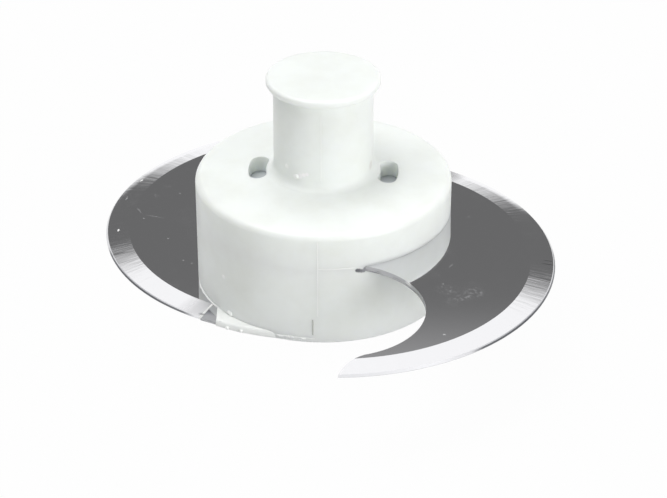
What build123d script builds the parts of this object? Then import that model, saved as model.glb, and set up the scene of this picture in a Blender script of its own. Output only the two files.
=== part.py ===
"""Chopping blade of a food processor: a moulded hub that carries two crescent knives.

Millimetres. The origin is on the drive axis, in the plane of the hub's foot, and +Z is up.
Knife outlines are drawn for the upper knife. The lower knife is the same blank, turned half
a turn about the drive axis.
"""

import os
from math import atan2, cos, degrees, radians, sin, sqrt

from build123d import *

# Hub drum
drum_radius = 35.0
drum_draft = 0.35
drum_height = 32.9
drum_rim_round = 1.9
drum_foot_bevel = 0.2
crown_height = 2.3
deck_thickness = 5.2
cavity_draft = 0.6

# Hub stem and its finger knob
overall_height = 62.7
stem_radius = 13.55
stem_root_round = 2.2
knob_overhang = 1.95
knob_thickness = 2.0
knob_rim_round = 0.85
knob_shoulder_bevel = 0.5
knob_neck_height = 0.9

# Drive bush, cut from hexagon bar
bore_radius = 7.0
bore_chamfer = 0.6
bush_wall = 2.0
bush_cover = 7.7
shaft_end_room = 3.0
shaft_end_step = 2.0
pin_slot_width = 4.2
pin_slot_depth = 5.0
groove_depth = 0.9
groove_width = 2.4
groove_count = 3

# Boss and ribs under the deck
boss_wall = 3.0
boss_depth = 5.7
rib_count = 6
rib_thickness = 2.4
rib_depth = 3.2

# Blind kidney slots in the deck
slot_azimuth = -4.4
slot_forward = 0.8
slot_clearance = 2.0
slot_width = 4.9
slot_length = 12.3
slot_floor = 2.3

# Knife blank, and where the drum holds the two knives
sheet = 1.5
upper_knife_drop = 9.95
lower_knife_lift = 0.3
ring_width = 4.8
ring_outer_cover = 1.6
ring_inner_cover = 1.3
anchor_count = 6
anchor_radius = 1.6

# Knife outline
knife_offset = 3.0
knife_reach = 86.2
edge_setback = 2.0
run_out_angle = 59.0
tip_width = 7.4
bay_overlap = 1.8
tip_corner_angle = -89.6
tip_root_angle = -72.0
tip_bulge = 1.1

# Ground edge
grinding_stock = 0.3
bevel_width = 6.5
bevel_drop = 0.85
honed_width = 0.5
edge_land = 0.05
wheel_clearance = 3.0
wheel_overrun_angle = 15.0
lift_length = 7.0
lift_width = 4.0
lift_depth = 0.9

# Sizes that follow from those above
ring_outer_radius = drum_radius - ring_outer_cover
ring_inner_radius = ring_outer_radius - ring_width
cavity_radius = ring_inner_radius - ring_inner_cover
deck_underside = drum_height - deck_thickness
bush_half_flats = bore_radius + bush_wall
bush_corner_radius = bush_half_flats / cos(radians(30))
bush_foot = deck_underside - boss_depth
bush_top = overall_height - bush_cover
bush_length = bush_top - bush_foot
upper_knife_foot = drum_height - upper_knife_drop - sheet
edge_radius = (knife_reach + ring_outer_radius - edge_setback) / 2
edge_centre = (knife_offset, edge_radius - knife_reach)
bay_top = bay_overlap - ring_outer_radius
bay_radius = (bay_top + knife_reach - tip_width) / 2
bay_centre = (knife_offset, bay_top - bay_radius)


def polar(radius, angle, centre=(0.0, 0.0)):
    """Point at a radius and an angle in degrees about a centre."""
    return (centre[0] + radius * cos(radians(angle)), centre[1] + radius * sin(radians(angle)))


def nearest_corner(section, place):
    """Corner of a flat section that lies nearest to a place."""
    return section.vertices().sort_by_distance((place[0], place[1], 0))[0]


def rounded(section, corners):
    """Flat section with some of its corners rounded, given as (corner, radius) pairs."""
    for corner, radius in corners:
        section = fillet(nearest_corner(section, corner), radius)
    return section


def bevelled(section, corners):
    """Flat section with some of its corners cut off, given as (corner, width) pairs."""
    for corner, width in corners:
        section = chamfer(nearest_corner(section, corner), width)
    return section


def turned(section):
    """Solid turned about the drive axis from a section drawn as (radius, height)."""
    return revolve(Plane.XZ * section, axis=Axis.Z)


def standing(shape, foot):
    """Shape that is centred on the origin, raised until its foot is at a height."""
    return Pos(0, 0, foot - shape.bounding_box().min.Z) * shape


def knife_lobe():
    """Flat crescent that sweeps the bowl, from inside the ring round to the blunt tip."""
    blank_radius = edge_radius + grinding_stock
    corner = polar(blank_radius, tip_corner_angle, edge_centre)
    run_out = polar(blank_radius, run_out_angle, edge_centre)
    outer = CenterArc(edge_centre, blank_radius, tip_corner_angle, run_out_angle - tip_corner_angle)

    # Back of the crescent: an arc tangent to the outer edge and to the ring
    outward = polar(1.0, run_out_angle)
    reach = run_out[0] * outward[0] + run_out[1] * outward[1]
    square = run_out[0] ** 2 + run_out[1] ** 2
    back_radius = (square - ring_outer_radius**2) / (2 * (reach - ring_outer_radius))
    back_centre = (run_out[0] - back_radius * outward[0], run_out[1] - back_radius * outward[1])
    back_end = degrees(atan2(-back_centre[1], -back_centre[0]))
    back = CenterArc(back_centre, back_radius, run_out_angle, back_end - run_out_angle)

    # Bay between the tip and the hub, and the blunt end of the tip
    root = polar(bay_radius, tip_root_angle, bay_centre)
    end = SagittaArc(root, corner, -tip_bulge)
    bay = CenterArc(bay_centre, bay_radius, 90.0, tip_root_angle - 90.0)
    inside = Line(back @ 1, bay @ 0)
    return make_face([outer, back, inside, bay, end])


def edge_grinding():
    """Solid that the grinding wheel takes off a blank whose underside is at z = 0."""
    inner = edge_radius - bevel_width
    heel = edge_radius - honed_width
    beyond = edge_radius + grinding_stock + wheel_clearance
    above = sheet + wheel_clearance
    section = make_face(
        Polyline(
            (inner, above),
            (inner, sheet),
            (heel, sheet - bevel_drop),
            (edge_radius, edge_land),
            (edge_radius, -wheel_clearance),
            (beyond, -wheel_clearance),
            (beyond, above),
            close=True,
        )
    )
    start = tip_corner_angle - wheel_overrun_angle
    swing = revolve(Plane.XZ * section, axis=Axis.Z, revolution_arc=run_out_angle - start)
    return Pos(*edge_centre, 0) * (Rot(0, 0, start) * swing)


def wheel_lift():
    """Corner that the wheel still takes off past the run-out, as it lifts out of the blank."""
    corner = Vector(*polar(edge_radius + grinding_stock, run_out_angle, edge_centre), sheet)
    inward = Vector(*polar(-lift_width, run_out_angle))
    onward = Vector(*polar(lift_length, run_out_angle + 90))
    down = Vector(0, 0, lift_depth)
    ground = Plane(corner - down, x_dir=onward + down, z_dir=(onward + down).cross(inward + down))
    taken = ground * Pos(0, 0, lift_length) * Box(4 * lift_length, 4 * lift_length, 2 * lift_length)
    past = Pos(lift_length, 0, 0) * Box(2 * lift_length, 4 * lift_length, 4 * lift_length)
    return taken & (Pos(corner) * Rot(0, 0, run_out_angle + 90) * past)


def knife():
    """Upper knife with its underside at z = 0: ring, crescent, anchor holes and ground edge."""
    outline = Circle(ring_outer_radius) + knife_lobe() - Circle(ring_inner_radius)
    plate = extrude(outline, amount=sheet)
    middle = (ring_inner_radius + ring_outer_radius) / 2
    holes = PolarLocations(middle, anchor_count) * Cylinder(anchor_radius, 3 * sheet)
    return plate - edge_grinding() - wheel_lift() - holes


def bush_solid():
    """Hexagon bush without its bore, with turned grooves that key it into the moulding."""
    hexagon = RegularPolygon(bush_half_flats, 6, major_radius=False)
    bar = standing(extrude(hexagon, amount=bush_length), bush_foot)
    collar = Cylinder(2 * bush_half_flats, groove_width)
    collar -= Cylinder(bush_half_flats - groove_depth, groove_width)
    pitch = bush_length / (groove_count + 1)
    for number in range(groove_count):
        bar -= Pos(0, 0, bush_foot + pitch * (number + 1)) * collar
    return bar


def drive_bush():
    """Steel bush: plain bore for the shaft and a slot across its mouth for the drive pin."""
    bore = standing(Cylinder(bore_radius, bush_length), bush_foot)
    lead = standing(Cone(bore_radius + bore_chamfer, bore_radius, bore_chamfer), bush_foot)
    pin_slot = Box(4 * bush_half_flats, pin_slot_width, pin_slot_depth)
    return bush_solid() - bore - lead - standing(pin_slot, bush_foot)


def hub_outside():
    """Drum with its crowned deck, the stem and the finger knob, all one moulding."""
    crown_radius = (drum_radius**2 + crown_height**2) / (2 * crown_height)
    crown_centre = drum_height + crown_height - crown_radius

    def deck(radius):
        """Height of the crowned deck at a radius."""
        return crown_centre + sqrt(crown_radius**2 - radius**2)

    knob_radius = stem_radius + knob_overhang
    knob_foot = overall_height - knob_thickness
    foot = (drum_radius - drum_draft, 0)
    rim = (drum_radius, drum_height)
    root = (stem_radius, deck(stem_radius))
    between = (drum_radius + stem_radius) / 2
    neck = (stem_radius, knob_foot - knob_neck_height)
    shoulder = (knob_radius, knob_foot)
    top = (knob_radius, overall_height)
    section = make_face(
        [
            Line((0, 0), foot),
            Line(foot, rim),
            ThreePointArc(rim, (between, deck(between)), root),
            Line(root, neck),
            Line(neck, shoulder),
            Line(shoulder, top),
            Line(top, (0, overall_height)),
            Line((0, overall_height), (0, 0)),
        ]
    )
    section = rounded(section, [(rim, drum_rim_round), (root, stem_root_round), (top, knob_rim_round)])
    return turned(bevelled(section, [(foot, drum_foot_bevel), (shoulder, knob_shoulder_bevel)]))


def slot_cutter():
    """Two curved slots with round ends, which core out the deck beside the stem."""
    middle = stem_radius + slot_clearance + slot_width / 2
    half = degrees((slot_length - slot_width) / 2 / middle)
    line = CenterArc((0, 0), middle, slot_azimuth - half, 2 * half)
    slot = standing(extrude(SlotArc(line, slot_width), amount=drum_height), deck_underside + slot_floor)
    return Pos(0, -slot_forward, 0) * (slot + Rot(0, 0, 180) * slot)


def cavity():
    """Room under the deck for the centre column of the bowl."""
    section = make_face(
        Polyline(
            (0, -1),
            (cavity_radius, -1),
            (cavity_radius, 0),
            (cavity_radius - cavity_draft, deck_underside),
            (0, deck_underside),
            close=True,
        )
    )
    return turned(section)


def ribs():
    """Radial ribs that tie the boss to the wall and reach into the deck."""
    length = cavity_radius + ring_inner_cover / 2
    bar = Box(length, rib_thickness, rib_depth + deck_thickness / 2)
    rib = Pos(length / 2, 0, 0) * standing(bar, deck_underside - rib_depth)
    pitch = 360 / rib_count
    return [Rot(0, 0, slot_azimuth + pitch * (number + 0.5)) * rib for number in range(rib_count)]


def hub():
    """Whole moulding, closed round the knives and the bush."""
    body = hub_outside() - cavity()
    for rib in ribs():
        body += rib
    boss = Cylinder(bush_corner_radius + boss_wall, boss_depth + deck_thickness / 2)
    body += standing(boss, bush_foot)
    body -= slot_cutter()
    shaft_room = Cylinder(bore_radius - shaft_end_step, bush_length + shaft_end_room)
    body -= standing(shaft_room, bush_foot)
    body -= bush_solid()

    # The ring of the lower knife lies bare in a shallow recess round the foot
    recess = Cylinder(ring_outer_radius, lower_knife_lift)
    recess -= Cylinder(ring_inner_radius, lower_knife_lift)
    return body - standing(recess, 0)


blank = knife()
upper_knife = Pos(0, 0, upper_knife_foot) * blank
lower_knife = Rot(0, 0, 180) * (Pos(0, 0, lower_knife_lift) * blank)
moulding = hub() - upper_knife - lower_knife

pieces = {
    "hub": moulding,
    "upper_blade": upper_knife,
    "lower_blade": lower_knife,
    "drive_bush": drive_bush(),
}

os.makedirs("parts", exist_ok=True)
for name, piece in pieces.items():
    export_step(piece, f"parts/{name}.step")
    print(name, len(piece.solids()), round(piece.volume, 1), piece.bounding_box())
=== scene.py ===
"""Chopping blade of a food processor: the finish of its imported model, its moulding trim and a studio."""

import math
import random

import bmesh
import bpy
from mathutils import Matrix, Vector, noise


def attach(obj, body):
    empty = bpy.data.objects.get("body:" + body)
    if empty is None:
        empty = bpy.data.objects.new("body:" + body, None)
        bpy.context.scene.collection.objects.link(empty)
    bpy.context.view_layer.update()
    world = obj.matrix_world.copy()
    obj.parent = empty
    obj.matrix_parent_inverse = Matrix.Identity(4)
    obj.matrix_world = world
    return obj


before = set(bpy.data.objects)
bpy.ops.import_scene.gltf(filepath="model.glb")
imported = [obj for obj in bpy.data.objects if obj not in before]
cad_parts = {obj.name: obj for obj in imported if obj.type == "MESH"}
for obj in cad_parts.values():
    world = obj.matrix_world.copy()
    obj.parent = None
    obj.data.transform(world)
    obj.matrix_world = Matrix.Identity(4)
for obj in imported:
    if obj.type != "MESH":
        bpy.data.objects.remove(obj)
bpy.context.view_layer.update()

# Hub
# One moulding of white acetal, injected round both knives and the bush in a split mould.
# The satin tool leaves it evenly matt, and handling has given it faint stains and scuffs.

MM = 0.001


def srgb(hex_colour):
    """Linear colour, with alpha, of an sRGB hex value."""
    channels = [int(hex_colour[i : i + 2], 16) / 255 for i in (1, 3, 5)]
    return (*[c / 12.92 if c <= 0.04045 else ((c + 0.055) / 1.055) ** 2.4 for c in channels], 1.0)


def add_node(tree, kind, inputs=None, **settings):
    """Adds a node, sets it up, and feeds each input from a plain value or another node's output."""
    node = tree.nodes.new(kind)
    for name, value in settings.items():
        setattr(node, name, value)
    for name, value in (inputs or {}).items():
        if isinstance(value, bpy.types.NodeSocket):
            tree.links.new(value, node.inputs[name])
        else:
            node.inputs[name].default_value = value
    return node


def new_material(name):
    """New material with nothing but its output node. Returns the material and its node tree."""
    material = bpy.data.materials.new(name)
    material.use_nodes = True
    tree = material.node_tree
    tree.nodes.clear()
    tree.nodes.new("ShaderNodeOutputMaterial")
    return material, tree


def finish_material(tree, shader):
    """Joins a shader to the material's output."""
    tree.links.new(shader.outputs[0], tree.nodes["Material Output"].inputs["Surface"])


def paint(node_name, material):
    """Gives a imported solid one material."""
    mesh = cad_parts[node_name].data
    mesh.materials.clear()
    mesh.materials.append(material)


def per_mm(size):
    """Texture scale, per metre, of a pattern whose grain is a size in millimetres."""
    return 1 / (size * MM)


slot_floor = 30.0 * MM
slots_reach = 28.0 * MM


def moulded_acetal(name, clean, stained, spots=(), glow=0.5):
    """White acetal as moulded. To the eye: soft broad highlights and a skin that isn't quite even.

    Light glows through the thick wall, and not through thin flash, which has none.
    """
    material, tree = new_material(name)
    place = add_node(tree, "ShaderNodeTexCoord").outputs["Object"]
    stains = add_node(
        tree,
        "ShaderNodeTexNoise",
        {"Vector": place, "Scale": per_mm(16), "Detail": 5.0, "Roughness": 0.6},
    )
    stain_share = add_node(
        tree,
        "ShaderNodeMapRange",
        {"Value": stains.outputs["Fac"], "From Min": 0.42, "From Max": 0.78},
    )
    colour = add_node(
        tree,
        "ShaderNodeMix",
        {"Factor": stain_share.outputs["Result"], 6: srgb(clean), 7: srgb(stained)},
        data_type="RGBA",
    ).outputs[2]

    # Small spots, some of them blemishes and some painted light and shade: where each is, how wide, and
    # the shade that it has
    for point, reach, shade in spots:
        away = add_node(
            tree,
            "ShaderNodeVectorMath",
            {0: place, 1: point},
            operation="DISTANCE",
        ).outputs["Value"]
        spot_share = add_node(
            tree,
            "ShaderNodeMapRange",
            {"Value": away, "From Min": reach * MM, "From Max": 0.4 * reach * MM},
            interpolation_type="SMOOTHSTEP",
        ).outputs["Result"]
        colour = add_node(
            tree,
            "ShaderNodeMix",
            {"Factor": spot_share, 6: colour, 7: srgb(shade)},
            data_type="RGBA",
        ).outputs[2]

    # The floors of the two slots are painted darker: painted shade, as little light reaches down into them
    split = add_node(tree, "ShaderNodeSeparateXYZ", {0: place})
    from_axis = add_node(
        tree, "ShaderNodeVectorMath", {0: place, 1: (1.0, 1.0, 0.0)}, operation="MULTIPLY"
    ).outputs["Vector"]
    from_axis = add_node(
        tree, "ShaderNodeVectorMath", {0: from_axis}, operation="LENGTH"
    ).outputs["Value"]
    slot_floor_shade = add_node(
        tree,
        "ShaderNodeMapRange",
        {"Value": split.outputs["Z"], "From Min": slot_floor + 0.3 * MM, "From Max": slot_floor},
    ).outputs["Result"]
    for value, limit, operation in (
        (split.outputs["Z"], slot_floor - 0.5 * MM, "GREATER_THAN"),
        (from_axis, slots_reach, "LESS_THAN"),
    ):
        within = add_node(tree, "ShaderNodeMath", {0: value, 1: limit}, operation=operation)
        slot_floor_shade = add_node(
            tree, "ShaderNodeMath", {0: slot_floor_shade, 1: within.outputs[0]}, operation="MULTIPLY"
        ).outputs[0]
    colour = add_node(
        tree,
        "ShaderNodeMix",
        {"Factor": slot_floor_shade, 6: colour, 7: srgb("#c2c6c9")},
        data_type="RGBA",
    ).outputs[2]

    # Tool grain is about 0.2 mm, drawn at 0.5 mm so that it shows
    grain = add_node(
        tree,
        "ShaderNodeTexNoise",
        {"Vector": place, "Scale": per_mm(0.5), "Detail": 3.0},
    )
    flow = add_node(
        tree,
        "ShaderNodeTexNoise",
        {"Vector": place, "Scale": per_mm(7), "Detail": 2.0},
    )
    roughness = add_node(
        tree,
        "ShaderNodeMapRange",
        {"Value": grain.outputs["Fac"], "To Min": 0.34, "To Max": 0.46},
    )
    fine = add_node(
        tree,
        "ShaderNodeBump",
        {"Height": grain.outputs["Fac"], "Strength": 0.35, "Distance": 0.01 * MM},
    )
    skin = add_node(
        tree,
        "ShaderNodeBump",
        {
            "Height": flow.outputs["Fac"],
            "Strength": 0.5,
            "Distance": 0.05 * MM,
            "Normal": fine.outputs["Normal"],
        },
    )
    shader = add_node(
        tree,
        "ShaderNodeBsdfPrincipled",
        {
            "Base Color": colour,
            "Roughness": roughness.outputs["Result"],
            "IOR": 1.48,
            "Subsurface Weight": glow,
            "Subsurface Radius": (1.0, 1.0, 0.9),
            "Subsurface Scale": 3.5 * MM,
            "Normal": skin.outputs["Normal"],
        },
    )
    finish_material(tree, shader)
    return material


def round_the_axis(radius, azimuth, height):
    """Point at a radius, an azimuth in degrees and a height about the drive axis."""
    angle = math.radians(azimuth)
    return Vector((radius * math.cos(angle), radius * math.sin(angle), height))


# A soft grey spot of painted shade on the stem's root fillet, the pale marks of the gate on the stem,
# a painted highlight round the bead on the drum's wall, and painted shade for the dark pocket at the
# end of the upper knife's root
hub_spots = (
    (round_the_axis(13.55 * MM, -136.6, 40.3 * MM), 0.9, "#ffffff"),
    (round_the_axis(13.8 * MM, -123.0, 38.2 * MM), 1.1, "#ffffff"),
    (round_the_axis(13.8 * MM, -118.0, 38.7 * MM), 1.1, "#ffffff"),
    (round_the_axis(13.8 * MM, -113.0, 39.2 * MM), 0.9, "#ffffff"),
    (round_the_axis(13.55 * MM, -109.0, 39.6 * MM), 0.7, "#ffffff"),
    # A painted highlight round the bead on the drum's wall, against the shade on the bead's lower side
    (round_the_axis(34.8 * MM, -141.0, 13.2 * MM), 0.8, "#ffffff"),
    # A soft grey spot of painted shade on the stem's root fillet
    (round_the_axis(13.55 * MM, -18.6, 37.9 * MM), 1.7, "#e0e0dc"),
    # Painted shade for the dark pocket at the end of the upper knife's root, graded from dark to light
    (round_the_axis(34.9 * MM, -75.2, 22.0 * MM), 0.75, "#64656a"),
    (round_the_axis(34.9 * MM, -74.3, 21.85 * MM), 0.8, "#6f7074"),
    (round_the_axis(34.9 * MM, -73.2, 21.65 * MM), 0.75, "#808185"),
    (round_the_axis(34.9 * MM, -72.2, 21.6 * MM), 0.7, "#909195"),
    (round_the_axis(34.9 * MM, -71.6, 22.2 * MM), 0.7, "#98999c"),
    (round_the_axis(34.9 * MM, -70.8, 22.1 * MM), 0.7, "#a0a1a4"),
)
hub_acetal = moulded_acetal("moulded_acetal", "#f0f4f1", "#e8ebe6", hub_spots)
paint("hub", hub_acetal)

# Mould lines
# Where the halves of the mould and its sleeves meet, the acetal has crept into the gap and set
# as hair-thin flash: up the front of drum and stem, round the knife's seat and along the foot.

drum_draft = 0.35 * MM
drum_height = 32.9 * MM
stem_radius = 13.55 * MM


def wall_radius(height):
    """Radius of the drum's wall, which narrows a little towards the foot."""
    return 35 * MM - drum_draft * (1 - height / drum_height)


def new_piece(name, mesh_builder, material):
    """Finishes a bmesh as a smooth object that rides on the part, in the material given."""
    mesh = bpy.data.meshes.new(name)
    bmesh.ops.recalc_face_normals(mesh_builder, faces=mesh_builder.faces)
    mesh_builder.to_mesh(mesh)
    mesh_builder.free()
    for polygon in mesh.polygons:
        polygon.use_smooth = True
    mesh.materials.append(material)
    piece = bpy.data.objects.new(name, mesh)
    bpy.context.scene.collection.objects.link(piece)
    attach(piece, "root")
    return piece


def flash_ridge(name, stations, width, proud, material):
    """Thin ridge along stations of (point on the wall, direction out of it), tapering at both ends."""
    sunk = 0.08 * MM
    builder = bmesh.new()
    rings = []
    last = len(stations) - 1
    for number, (point, out) in enumerate(stations):
        before = stations[max(number - 1, 0)][0]
        after = stations[min(number + 1, last)][0]
        across = out.cross(after - before).normalized()
        fade = min(1.0, 4 * number / last + 0.15, 4 * (last - number) / last + 0.15)
        ragged = 0.8 + 0.4 * noise.noise(point / MM * 0.9)
        height = proud * fade * ragged
        shoulder = 0.55 * height
        section = ((-0.5, -sunk), (-0.35, shoulder), (0.0, height), (0.35, shoulder), (0.5, -sunk))
        rings.append([builder.verts.new(point + across * (width * u) + out * v) for u, v in section])
    count = len(rings[0])
    for near, far in zip(rings, rings[1:]):
        for side in range(count):
            turn = (side + 1) % count
            builder.faces.new((near[side], near[turn], far[turn], far[side]))
    builder.faces.new(rings[0])
    builder.faces.new(rings[-1])
    return new_piece(name, builder, material)


def straight_up(azimuth, low, high, radius_at, count=40):
    """Stations up a wall at one azimuth."""
    out = round_the_axis(1.0, azimuth, 0.0)
    heights = [low + (high - low) * i / (count - 1) for i in range(count)]
    return [(round_the_axis(radius_at(z), azimuth, z), out) for z in heights]


def level_round(start, end, height, count=60):
    """Stations round the drum's wall at one height."""
    azimuths = [start + (end - start) * i / (count - 1) for i in range(count)]
    radius = wall_radius(height)
    return [(round_the_axis(radius, a, height), round_the_axis(1.0, a, 0.0)) for a in azimuths]


knife_top = 22.95 * MM
foot_knife_top = 1.8 * MM
# Grey acetal for the step in the parting line: its dark line is painted shade
shaded_step_acetal = moulded_acetal("shaded_step_acetal", "#c3c4c0", "#b4b5b0", glow=0.0)
# Acetal for flash and trim, without glow and a little lighter than the hub's: the extra lightness is
# painted light against the shade on thin pieces
lightened_acetal = moulded_acetal("acetal_flash", "#fafcfa", "#f3f5f3", glow=0.0)
parting_azimuth = -92.7
flash_ridge(
    "drum_parting_line",
    straight_up(parting_azimuth, 8.0 * MM, 31.2 * MM, wall_radius),
    0.34 * MM,
    0.08 * MM,
    lightened_acetal,
)
# The parting step's dark line is painted shade, in the grey acetal
flash_ridge(
    "drum_parting_step",
    straight_up(-94.9, 2.4 * MM, 7.2 * MM, wall_radius, 16),
    0.42 * MM,
    0.2 * MM,
    shaded_step_acetal,
)
flash_ridge(
    "stem_parting_line",
    straight_up(parting_azimuth, 38.0 * MM, 57.5 * MM, lambda z: stem_radius),
    0.24 * MM,
    0.02 * MM,
    lightened_acetal,
)
flash_ridge(
    "knife_seat_line",
    level_round(parting_azimuth, -76.0, knife_top),
    0.34 * MM,
    0.12 * MM,
    lightened_acetal,
)
flash_ridge(
    "foot_flash_left",
    level_round(-172.0, -143.0, foot_knife_top + 0.15 * MM),
    0.6 * MM,
    0.45 * MM,
    lightened_acetal,
)
flash_ridge(
    "foot_flash_front",
    level_round(-113.0, -94.0, 1.3 * MM),
    0.3 * MM,
    0.12 * MM,
    lightened_acetal,
)

# Foot lip
# In front on the left the acetal has run out over the root of the lower knife. It follows the
# knife's back up to 0.5 mm outside it, starts flush at a straight edge, and dies into the foot
# of the drum.

knife_back_centre = Vector((3.8, 38.72))
lip_radius = 72.31
lip_overhang = 0.5
lip_top = 1.95
lip_end = -29.2

# Height of each ring of the lip and how far it is drawn in from the outline
lip_rings = ((0.0, 0.06), (0.25, 0.0), (1.3, 0.02), (1.55, 0.06), (1.8, 0.2), (lip_top, 0.42))


def lip_outline(count=48):
    """Closed outline of the lip in millimetres: out along the knife's back, home inside the drum."""
    start = math.degrees(math.acos((lip_end - knife_back_centre.x) / lip_radius))
    outline = []
    for number in range(count):
        angle = -math.radians(start + (101.5 - start) * number / (count - 1))
        ragged = 0.06 * noise.noise(Vector((number * 0.55, 0.0, 0.0)))
        reach = lip_radius + ragged + lip_overhang * min(1.0, 0.15 + 2.5 * number / count)
        outline.append(knife_back_centre + Vector((math.cos(angle), math.sin(angle))) * reach)
    for azimuth in range(-108, -143, -3):
        outline.append(round_the_axis(32.8, azimuth, 0.0).to_2d())
    outline.append(Vector((lip_end, -18.5)))
    return outline


outline = lip_outline()
count = len(outline)
builder = bmesh.new()
rings = []
for height, inset in lip_rings:
    ring = []
    for number, point in enumerate(outline):
        along = outline[(number + 1) % count] - outline[number - 1]
        inward = Vector((-along.y, along.x)).normalized()
        place = point + inward * inset
        ring.append(builder.verts.new(Vector((place.x, place.y, height)) * MM))
    rings.append(ring)
for near, far in zip(rings, rings[1:]):
    for side in range(count):
        turn = (side + 1) % count
        builder.faces.new((near[side], near[turn], far[turn], far[side]))
builder.faces.new(rings[0])
builder.faces.new(rings[-1])
new_piece("foot_lip", builder, lightened_acetal)

# Gate marks and burrs
# Where the runner was broken off the foot of the stem a pip and a flat scar are left, and the mould
# has leaked in little beads at the lower knife. Each has run into the surface that it sits on.


def pip(name, point, out, size, seed):
    """Flattened lump of three radii in millimetres, sitting with its middle in the surface."""
    builder = bmesh.new()
    bmesh.ops.create_icosphere(builder, subdivisions=3, radius=1.0)
    turn = Vector(out).normalized().to_track_quat("Z", "Y")
    draw = random.Random(seed)
    offset = Vector((draw.uniform(-9, 9), draw.uniform(-9, 9), draw.uniform(-9, 9)))
    for vertex in builder.verts:
        lump = 1 + 0.35 * noise.noise(vertex.co * 1.3 + offset)
        shape = Vector((vertex.co.x * size[0], vertex.co.y * size[1], vertex.co.z * size[2])) * lump
        vertex.co = Vector(point) + turn @ (shape * MM)
    return new_piece(name, builder, lightened_acetal)


# Azimuth, height and three radii, the last standing out of the wall
stem_marks = (
    ("gate_pip", -136.6, 40.3, (0.5, 0.6, 0.16)),
    ("gate_scar", -122.5, 38.3, (0.75, 0.65, 0.3)),
)
wall_beads = (
    ("wall_bead", -141.0, 13.2, (0.4, 0.45, 0.08)),
    ("foot_bead_left", -137.0, 2.7, (1.15, 0.75, 0.42)),
    ("foot_bead_a", -118.5, 1.2, (0.7, 0.3, 0.3)),
    ("foot_bead_b", -110.0, 1.1, (0.8, 0.25, 0.25)),
    ("foot_bead_c", -106.0, 1.3, (0.5, 0.25, 0.25)),
    ("foot_bead_d", -99.0, 1.1, (0.7, 0.25, 0.25)),
)
for seed, (name, azimuth, height, size) in enumerate(stem_marks):
    pip(name, round_the_axis(stem_radius, azimuth, height * MM), round_the_axis(1, azimuth, 0), size, seed)
for seed, (name, azimuth, height, size) in enumerate(wall_beads):
    point = round_the_axis(wall_radius(height * MM), azimuth, height * MM)
    pip(name, point, round_the_axis(1, azimuth, 0), size, seed + 10)
for seed, (x, y) in enumerate(((-26.1, -27.6), (-22.3, -29.2))):
    pip(f"lip_burr_{seed + 1}", Vector((x, y, 0.5)) * MM, (0, -1, 0), (0.6, 0.45, 0.5), seed + 20)

# Knives
# Two crescents pressed from 1.5 mm martensitic stainless sheet and mirror polished. The outer
# edge is ground on a wheel, which leaves lines across the bevel, and its last half millimetre honed.

edge_centre = (3.0, -27.4)
edge_radius = 58.8
roll_off_start = 56.2
run_out = 59.0
sheet = 1.5


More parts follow.
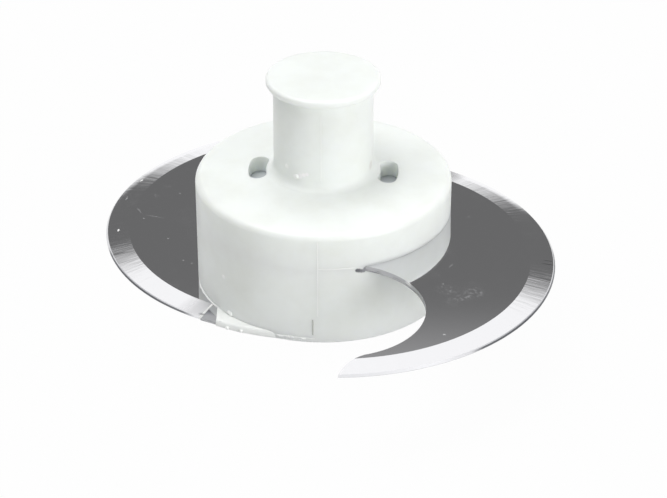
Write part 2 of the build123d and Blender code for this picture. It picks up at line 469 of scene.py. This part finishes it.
def polished_knife_steel(name, half_turn, underside, darker_span, rolled, marks):
    """Polished stainless sheet with a ground bevel. To the eye: a dark mirror edged with light.

    The honed edge is painted darker, and the bevel rolls off outside, between two angles each. The marks
    are ellipses in the knife's own drawing: x, y, half length and half width in millimetres, and
    the turn in degrees.
    """
    material, tree = new_material(name)
    place = add_node(tree, "ShaderNodeTexCoord").outputs["Object"]
    height = add_node(tree, "ShaderNodeSeparateXYZ", {0: place}).outputs["Z"]
    drawing = add_node(
        tree,
        "ShaderNodeMapping",
        {
            "Vector": place,
            "Rotation": (0.0, 0.0, math.pi if half_turn else 0.0),
            "Scale": (1 / MM, 1 / MM, 0.0),
        },
    ).outputs["Vector"]

    # Radius, angle and distance along the edge, about the centre that the edge is ground about
    from_centre = add_node(
        tree,
        "ShaderNodeVectorMath",
        {0: drawing, 1: (*edge_centre, 0.0)},
        operation="SUBTRACT",
    ).outputs["Vector"]
    radius = add_node(
        tree, "ShaderNodeVectorMath", {0: from_centre}, operation="LENGTH"
    ).outputs["Value"]
    split = add_node(tree, "ShaderNodeSeparateXYZ", {0: from_centre})
    angle = add_node(
        tree,
        "ShaderNodeMath",
        {0: split.outputs["Y"], 1: split.outputs["X"]},
        operation="ARCTAN2",
    ).outputs[0]
    along = add_node(tree, "ShaderNodeMath", {0: angle, 1: edge_radius}, operation="MULTIPLY").outputs[0]

    def all_of(*shares):
        """Product of shares: where all of them lie."""
        result = 1.0
        for share in shares:
            result = add_node(
                tree, "ShaderNodeMath", {0: result, 1: share}, operation="MULTIPLY"
            ).outputs[0]
        return result

    def any_of(*shares):
        """Greatest of shares: where any of them lies."""
        result = 0.0
        for share in shares:
            result = add_node(
                tree, "ShaderNodeMath", {0: result, 1: share}, operation="MAXIMUM"
            ).outputs[0]
        return result

    def marked(kind, edge):
        """Where the marks of one kind lie, each of them soft over the outer share of it."""
        found = []
        for x, y, half_length, half_width, turn in marks[kind]:
            inside = add_node(
                tree,
                "ShaderNodeMapping",
                {
                    "Vector": drawing,
                    "Location": (x, y, 0.0),
                    "Rotation": (0.0, 0.0, math.radians(turn)),
                    "Scale": (half_length, half_width, 1.0),
                },
                vector_type="TEXTURE",
            ).outputs["Vector"]
            reach = add_node(
                tree, "ShaderNodeVectorMath", {0: inside}, operation="LENGTH"
            ).outputs["Value"]
            one = add_node(
                tree,
                "ShaderNodeMapRange",
                {"Value": reach, "From Min": 1.0, "From Max": 1.0 - edge},
                interpolation_type="SMOOTHSTEP",
            )
            found.append(one.outputs["Result"])
        return any_of(*found)

    def part_of_edge(start, end, fade):
        """Where the edge lies between two angles, fading out beyond them."""
        ends = []
        for limit, outside in ((start, start - fade), (end, end + fade)):
            one = add_node(
                tree,
                "ShaderNodeMapRange",
                {"Value": angle, "From Min": math.radians(outside), "From Max": math.radians(limit)},
            )
            ends.append(one.outputs["Result"])
        return all_of(*ends)

    # Which face of the knife this is, by the upward part of its normal: middle and half range
    normal = add_node(tree, "ShaderNodeNewGeometry").outputs["Normal"]
    rise = add_node(tree, "ShaderNodeSeparateXYZ", {0: normal}).outputs["Z"]
    flatness = add_node(tree, "ShaderNodeMath", {0: rise}, operation="ABSOLUTE").outputs[0]
    faces = {}
    for face, value, middle, half_range in (
        ("bevel", rise, 0.948, 0.048),
        ("wheel_lift", rise, 0.94, 0.04),
        ("honed", flatness, 0.6, 0.3),
        ("sheared", flatness, 0.15, 0.15),
    ):
        faces[face] = add_node(
            tree, "ShaderNodeMath", {0: value, 1: middle, 2: half_range}, operation="COMPARE"
        ).outputs[0]

    # Wheel lines lie across the bevel 0.3 mm apart, drawn 0.8 mm apart so that they show, in
    # bands of 3 mm. Both die out and come back along the edge, and the bevel rolls off outside
    unrolled = add_node(tree, "ShaderNodeCombineXYZ", {"X": along, "Y": radius}).outputs["Vector"]
    wheel = {}
    for pattern, pitch, detail in (("lines", 0.8, 2.0), ("bands", 3.0, 3.0), ("reach", 14.0, 1.0)):
        stretched = add_node(
            tree,
            "ShaderNodeVectorMath",
            {0: unrolled, 1: (1 / pitch, 1 / 16, 0.0)},
            operation="MULTIPLY",
        ).outputs["Vector"]
        wheel[pattern] = add_node(
            tree,
            "ShaderNodeTexNoise",
            {"Vector": stretched, "Scale": 1.0, "Detail": detail, "Roughness": 0.6},
            noise_dimensions="2D",
        ).outputs["Fac"]
    rolled_off = add_node(
        tree, "ShaderNodeMath", {0: radius, 1: roll_off_start}, operation="SUBTRACT"
    ).outputs[0]
    rolled_off = any_of(rolled_off)
    relief = 0.0
    for pattern, depth in (
        (all_of(rolled_off, rolled_off, part_of_edge(*rolled, 8)), -0.013),
        (wheel["bands"], 0.017),
        (all_of(wheel["reach"], wheel["lines"]), 0.010),
    ):
        relief = add_node(
            tree, "ShaderNodeMath", {0: pattern, 1: depth, 2: relief}, operation="MULTIPLY_ADD"
        ).outputs[0]
    ground_normal = add_node(
        tree,
        "ShaderNodeBump",
        {"Height": relief, "Strength": faces["bevel"], "Distance": 1.0 * MM},
    ).outputs["Normal"]

    # The wheel lifts off at the run-out, so the last few millimetres are coarse, and a pale line is
    # painted along the line where it left. The honed edge is painted darker between two angles
    coarse = add_node(
        tree,
        "ShaderNodeMapRange",
        {"Value": angle, "From Min": math.radians(run_out - 9), "From Max": math.radians(run_out - 4)},
    ).outputs["Result"]
    coarse = all_of(coarse, faces["bevel"])
    run_out_line = add_node(
        tree,
        "ShaderNodeMath",
        {0: angle, 1: math.radians(run_out - 0.35), 2: math.radians(0.45)},
        operation="COMPARE",
    ).outputs[0]
    run_out_line = all_of(run_out_line, any_of(faces["bevel"], faces["honed"]))
    outermost = add_node(
        tree, "ShaderNodeMath", {0: height, 1: (underside + 0.42) * MM}, operation="LESS_THAN"
    ).outputs[0]
    darker_edge = all_of(part_of_edge(*darker_span, 4), faces["honed"], outermost)
    lift_outside = add_node(
        tree,
        "ShaderNodeMapRange",
        {"Value": radius, "From Min": 56.0, "From Max": 57.6, "To Max": faces["wheel_lift"]},
    ).outputs["Result"]

    # Wiping has clouded the mirror in places, and drops have dried on it
    clouds, mottle, drops = [
        add_node(
            tree,
            "ShaderNodeTexNoise",
            {"Vector": place, "Scale": per_mm(size), "Detail": detail, "Roughness": roughness},
        ).outputs["Fac"]
        for size, detail, roughness in ((9, 8.0, 0.65), (1.3, 5.0, 0.7), (0.8, 3.0, 0.6))
    ]
    clouded, spattered = [
        add_node(
            tree, "ShaderNodeMapRange", {"Value": value, "From Min": low, "From Max": high}
        ).outputs["Result"]
        for value, low, high in ((clouds, 0.55, 0.85), (drops, 0.5, 0.68))
    ]
    upper_part = add_node(
        tree, "ShaderNodeMath", {0: height, 1: (underside + 0.6) * MM}, operation="GREATER_THAN"
    ).outputs[0]
    # Pale marks are white and not metal: specks of dust, pale nicks, a painted highlight along the top of
    # the upper knife's bay edge, and the pale line at the run-out
    pale_marks = any_of(all_of(marked("pale_marks", 0.8), 0.2), all_of(marked("nicks_and_highlight", 0.6), upper_part), run_out_line)
    smears = all_of(marked("smears", 0.9), spattered)
    scratches = all_of(marked("scratches", 0.6), mottle, 1.6)
    grime = all_of(marked("grime", 0.7), mottle, 1.6)
    film = any_of(all_of(clouded, 0.25), smears, scratches)

    # The lower part of a sheared face is torn and darker than the part that the punch burnished
    tear_place = add_node(
        tree,
        "ShaderNodeMapping",
        {"Vector": place, "Scale": (per_mm(2.5), per_mm(2.5), per_mm(0.35))},
    ).outputs["Vector"]
    tears = add_node(
        tree, "ShaderNodeTexNoise", {"Vector": tear_place, "Scale": 1.0, "Detail": 3.0}
    ).outputs["Fac"]
    torn, lower_part = [
        add_node(
            tree, "ShaderNodeMapRange", {"Value": value, "From Min": low, "From Max": high}
        ).outputs["Result"]
        for value, low, high in (
            (tears, 0.45, 0.7),
            (height, (underside + 0.6 * sheet) * MM, (underside + 0.4 * sheet) * MM),
        )
    ]

    colour = srgb("#dadadc")
    for share, shade in (
        (faces["sheared"], "#b0b1b3"),
        (all_of(faces["sheared"], torn, lower_part), "#6c6d70"),
        (coarse, "#bdbdbf"),
        (darker_edge, "#77787b"),
        (faces["wheel_lift"], "#6c6d72"),
        (lift_outside, "#9c9d9f"),
        # Pale marks, a painted highlight among them
        (pale_marks, "#f4f4f2"),
        (grime, "#77787a"),
    ):
        colour = add_node(
            tree,
            "ShaderNodeMix",
            {"Factor": share, 6: colour, 7: srgb(shade)},
            data_type="RGBA",
        ).outputs[2]

    polish = add_node(
        tree, "ShaderNodeMath", {0: film, 1: 0.12, 2: 0.045}, operation="MULTIPLY_ADD"
    ).outputs[0]
    ground = 0.03
    for pattern, roughening in ((wheel["lines"], 0.08), (film, 0.15), (coarse, 0.3)):
        ground = add_node(
            tree, "ShaderNodeMath", {0: pattern, 1: roughening, 2: ground}, operation="MULTIPLY_ADD"
        ).outputs[0]
    roughness = polish
    for share, finish in (
        (faces["bevel"], ground),
        (faces["honed"], 0.3),
        (faces["sheared"], 0.36),
        (pale_marks, 0.9),
    ):
        roughness = add_node(
            tree, "ShaderNodeMix", {"Factor": share, 2: roughness, 3: finish}
        ).outputs[0]

    bare = add_node(
        tree, "ShaderNodeMath", {0: film, 1: -0.08, 2: 1.0}, operation="MULTIPLY_ADD"
    ).outputs[0]
    bare = add_node(
        tree, "ShaderNodeMath", {0: bare, 1: pale_marks}, operation="SUBTRACT", use_clamp=True
    ).outputs[0]
    shader = add_node(
        tree,
        "ShaderNodeBsdfPrincipled",
        {
            "Base Color": colour,
            "Metallic": bare,
            "Roughness": roughness,
            "Normal": ground_normal,
        },
    )
    finish_material(tree, shader)
    return material


upper_steel = polished_knife_steel(
    "polished_stainless_upper",
    half_turn=False,
    underside=21.45,
    darker_span=(-50.0, 2.0),
    rolled=(32.0, 60.0),
    marks={
        "pale_marks": ((39.6, -6.5, 0.4, 0.3, 20), (31.4, -42.4, 0.4, 0.3, 0), (30.9, -67.9, 0.6, 0.5, 0)),
        # The upper knife's one entry here is a painted highlight along the top of its bay edge
        "nicks_and_highlight": ((21.8, -41.5, 2.2, 0.5, -50),),
        "smears": (
            (32.4, -45.5, 4.4, 3.4, 10),
            (39.7, -46.5, 4.6, 4.2, 0),
            (36.0, -49.5, 7.0, 2.6, 30),
            (29.8, -37.9, 1.8, 1.4, 0),
        ),
        "scratches": (
            (33.8, -33.0, 1.6, 0.22, 60),
            (42.7, 8.7, 0.9, 0.4, -30),
            (45.8, 4.2, 0.7, 0.35, -50),
        ),
        "grime": ((59.8, -31.2, 2.2, 0.2, -4), (60.0, -29.4, 1.8, 0.16, -3)),
    },
)
paint("upper_blade", upper_steel)
lower_steel = polished_knife_steel(
    "polished_stainless_lower",
    half_turn=True,
    underside=0.3,
    darker_span=(15.0, 53.0),
    rolled=(-60.0, -16.0),
    marks={
        "pale_marks": (
            (51.3, -30.3, 0.4, 0.35, 0),
            (43.9, -18.8, 0.4, 0.35, 0),
            (39.2, -6.5, 0.4, 0.35, 0),
            (36.7, -4.8, 0.35, 0.3, 0),
            (41.5, -45.0, 0.4, 0.35, 0),
        ),
        "nicks_and_highlight": ((58.2, -24.2, 0.8, 0.35, 85), (53.0, -53.9, 0.75, 0.35, 50)),
        "smears": ((48.4, -43.8, 2.2, 1.6, 40), (45.2, -48.6, 2.0, 1.4, 30)),
        "scratches": (
            (52.8, -35.0, 2.7, 0.25, 115),
            (48.1, -31.4, 3.9, 0.25, 162),
            (56.8, -43.1, 1.8, 0.3, 80),
        ),
        "grime": ((57.6, -11.4, 3.0, 0.35, 16), (33.0, 21.5, 0.6, 1.6, 59)),
    },
)
paint("lower_blade", lower_steel)

# Drive bush
# A stub of hexagon bar in free-cutting steel, bored and slotted, and moulded into the stem.
# The tool has left fine rings up its bore.


def turned_steel(name):
    """Free-cutting steel as turned. To the eye: grey and bright, with rings that break the light."""
    material, tree = new_material(name)
    place = add_node(tree, "ShaderNodeTexCoord").outputs["Object"]

    # Feed marks are 0.1 mm apart, drawn at 0.3 mm so that they show
    rings = add_node(
        tree,
        "ShaderNodeTexWave",
        {"Vector": place, "Scale": per_mm(0.3) / 20, "Distortion": 0.6, "Detail": 2.0},
        bands_direction="Z",
    ).outputs["Fac"]
    stain = add_node(
        tree,
        "ShaderNodeTexNoise",
        {"Vector": place, "Scale": per_mm(5), "Detail": 4.0},
    ).outputs["Fac"]
    roughness = add_node(tree, "ShaderNodeMapRange", {"Value": stain, "To Min": 0.24, "To Max": 0.42})
    relief = add_node(tree, "ShaderNodeBump", {"Height": rings, "Strength": 0.6, "Distance": 0.01 * MM})
    shader = add_node(
        tree,
        "ShaderNodeBsdfPrincipled",
        {
            "Base Color": srgb("#c4c4c6"),
            "Metallic": 1.0,
            "Roughness": roughness.outputs["Result"],
            "Normal": relief.outputs["Normal"],
        },
    )
    finish_material(tree, shader)
    return material


paint("drive_bush", turned_steel("turned_free_cutting_steel"))

# Studio
# A pale table under soft lights behind, to the left and low on the right. Table and backdrop
# look plain white, and the room that the knives mirror is dark with bright ends.

floor_half = 3.0
floor_corners = [(-floor_half, -floor_half, 0), (floor_half, -floor_half, 0)]
floor_corners += [(floor_half, floor_half, 0), (-floor_half, floor_half, 0)]
floor_mesh = bpy.data.meshes.new("table")
floor_mesh.from_pydata(floor_corners, [], [(0, 1, 2, 3)])
table = bpy.data.objects.new("table", floor_mesh)
bpy.context.scene.collection.objects.link(table)

material, tree = new_material("white_table_top")
rays = add_node(tree, "ShaderNodeLightPath")
lit = add_node(tree, "ShaderNodeBsdfDiffuse", {"Color": srgb("#cccccc")})
white = add_node(tree, "ShaderNodeEmission", {"Color": srgb("#ffffff"), "Strength": 1.0})
seen = add_node(tree, "ShaderNodeMixShader", {0: 0.975, 1: lit.outputs[0], 2: white.outputs[0]})

# The eye, a mirror and glass see it white. Light that a knife throws on to the white plastic
# comes from the lamps alone
shown = rays.outputs["Is Camera Ray"]
for kind in ("Is Glossy Ray", "Is Transmission Ray"):
    shown = add_node(
        tree, "ShaderNodeMath", {0: shown, 1: rays.outputs[kind]}, operation="MAXIMUM"
    ).outputs[0]
unscattered = add_node(
    tree, "ShaderNodeMath", {0: rays.outputs["Diffuse Depth"], 1: 0.5}, operation="LESS_THAN"
).outputs[0]
shown = add_node(tree, "ShaderNodeMath", {0: shown, 1: unscattered}, operation="MULTIPLY").outputs[0]
surface = add_node(tree, "ShaderNodeMixShader", {0: shown, 1: lit.outputs[0], 2: seen.outputs[0]})
finish_material(tree, surface)
floor_mesh.materials.append(material)

# The room by height above the table, as pairs of degrees and shade. Behind, it is plain: the far
# end of a white table, a dark wall, and a lit ceiling
room_bands = {
    "behind": (
        (0.0, "#f4f4f4"),
        (15.0, "#f4f4f4"),
        (20.0, "#666666"),
        (31.0, "#666666"),
        (36.0, "#f4f4f4"),
        (48.0, "#f4f4f4"),
    ),
    "in_front": (
        (0.0, "#ececec"),
        (8.0, "#dadadb"),
        (13.0, "#98999c"),
        (18.0, "#6c6d70"),
        (28.0, "#6e6f72"),
        (34.0, "#a4a5a8"),
        (40.0, "#e2e2e3"),
        (48.0, "#f6f6f6"),
        (62.0, "#f2f2f2"),
        (72.0, "#b8b9bc"),
        (84.0, "#9c9da0"),
    ),
    "at_the_sides": (
        (0.0, "#f0f0f0"),
        (8.0, "#e4e4e5"),
        (13.0, "#bcbdbf"),
        (18.0, "#98999c"),
        (24.0, "#98999c"),
        (29.0, "#c4c5c7"),
        (36.0, "#f0f0f0"),
        (60.0, "#f2f2f2"),
        (72.0, "#b8b9bc"),
        (84.0, "#9c9da0"),
    ),
}
world = bpy.data.worlds.new("studio")
bpy.context.scene.world = world
world.use_nodes = True
tree = world.node_tree
tree.nodes.clear()
direction = add_node(tree, "ShaderNodeTexCoord").outputs["Generated"]
towards = add_node(tree, "ShaderNodeSeparateXYZ", {0: direction})
room = {}
for side, bands in room_bands.items():
    ramp = add_node(tree, "ShaderNodeValToRGB", {"Fac": towards.outputs["Z"]})
    points = ramp.color_ramp.elements
    while len(points) < len(bands):
        points.new(0.5)
    for point, (elevation, shade) in zip(points, bands):
        point.position = math.sin(math.radians(elevation))
        point.color = srgb(shade)
    room[side] = ramp.outputs["Color"]

# The front and the sides are blended over the rear, between two places across the room each
sideways = add_node(tree, "ShaderNodeMath", {0: towards.outputs["X"]}, operation="ABSOLUTE").outputs[0]
round_about = room["behind"]
for side, across, start, end in (
    ("in_front", towards.outputs["Y"], 0.35, 0.15),
    ("at_the_sides", sideways, 0.42, 0.58),
):
    share = add_node(
        tree, "ShaderNodeMapRange", {"Value": across, "From Min": start, "From Max": end}
    ).outputs["Result"]
    round_about = add_node(
        tree,
        "ShaderNodeMix",
        {"Factor": share, 6: round_about, 7: room[side]},
        data_type="RGBA",
    ).outputs[2]

# The camera sees white. Steel mirrors the room, and the plastic is lit by a plain soft sky that
# is brighter overhead
rays = add_node(tree, "ShaderNodeLightPath")
overhead = add_node(
    tree, "ShaderNodeMapRange", {"Value": towards.outputs["Z"], "To Min": 0.34, "To Max": 0.56}
).outputs["Result"]
backdrop = add_node(tree, "ShaderNodeBackground", {"Color": srgb("#ffffff"), "Strength": 1.0})
ambient = add_node(tree, "ShaderNodeBackground", {"Color": srgb("#ffffff"), "Strength": overhead})
mirrored_room = add_node(tree, "ShaderNodeBackground", {"Color": round_about, "Strength": 1.43})
unscattered = add_node(
    tree, "ShaderNodeMath", {0: rays.outputs["Diffuse Depth"], 1: 0.5}, operation="LESS_THAN"
).outputs[0]
mirrored = add_node(
    tree, "ShaderNodeMath", {0: rays.outputs["Is Glossy Ray"], 1: unscattered}, operation="MULTIPLY"
).outputs[0]
surround = ambient.outputs[0]
for share, background in (
    (mirrored, mirrored_room),
    (rays.outputs["Is Camera Ray"], backdrop),
):
    surround = add_node(
        tree, "ShaderNodeMixShader", {0: share, 1: surround, 2: background.outputs[0]}
    ).outputs[0]
out = add_node(tree, "ShaderNodeOutputWorld")
tree.links.new(surround, out.inputs["Surface"])

# Square soft lamps aimed at the part: to the right of where the camera stands and above the
# table in degrees, side in metres, and power in watts
lamp_target = Vector((0, 0, 0.03))
lamp_distance = 1.6
for name, azimuth, elevation, side, power in (
    ("back_softbox", 180, 69, 0.8, 6.6),
    ("left_softbox", -90, 67, 0.8, 8.8),
    ("low_right_softbox", 41, 9, 0.8, 15.6),
):
    lamp = bpy.data.lights.new(name, "AREA")
    lamp.shape = "SQUARE"
    lamp.size = side
    lamp.energy = power
    holder = bpy.data.objects.new(name, lamp)
    bpy.context.scene.collection.objects.link(holder)
    turn, up = math.radians(azimuth), math.radians(elevation)
    away = Vector((math.sin(turn) * math.cos(up), -math.cos(turn) * math.cos(up), math.sin(up)))
    holder.location = lamp_target + away * lamp_distance
    holder.rotation_mode = "QUATERNION"
    holder.rotation_quaternion = away.to_track_quat("Z", "Y")

# Camera
# The photograph is taken from 30.5 degrees above the table with a long lens, a little off the
# axis of the part.

camera = bpy.data.cameras.new("camera")
camera.sensor_width = 36.0
camera.lens = 177.9
camera.clip_start = 0.01
camera.clip_end = 100.0
viewer = bpy.data.objects.new("camera", camera)
bpy.context.scene.collection.objects.link(viewer)
camera_distance = 0.9154
camera_rise = math.radians(30.51)
viewer.location = Vector((0, -math.cos(camera_rise), math.sin(camera_rise))) * camera_distance
aim = Vector((2.76, 4.0, 6.79)) * MM
viewer.rotation_mode = "QUATERNION"
viewer.rotation_quaternion = (viewer.location - aim).to_track_quat("Z", "Y")
bpy.context.scene.camera = viewer
bpy.context.scene.view_settings.view_transform = "Standard"
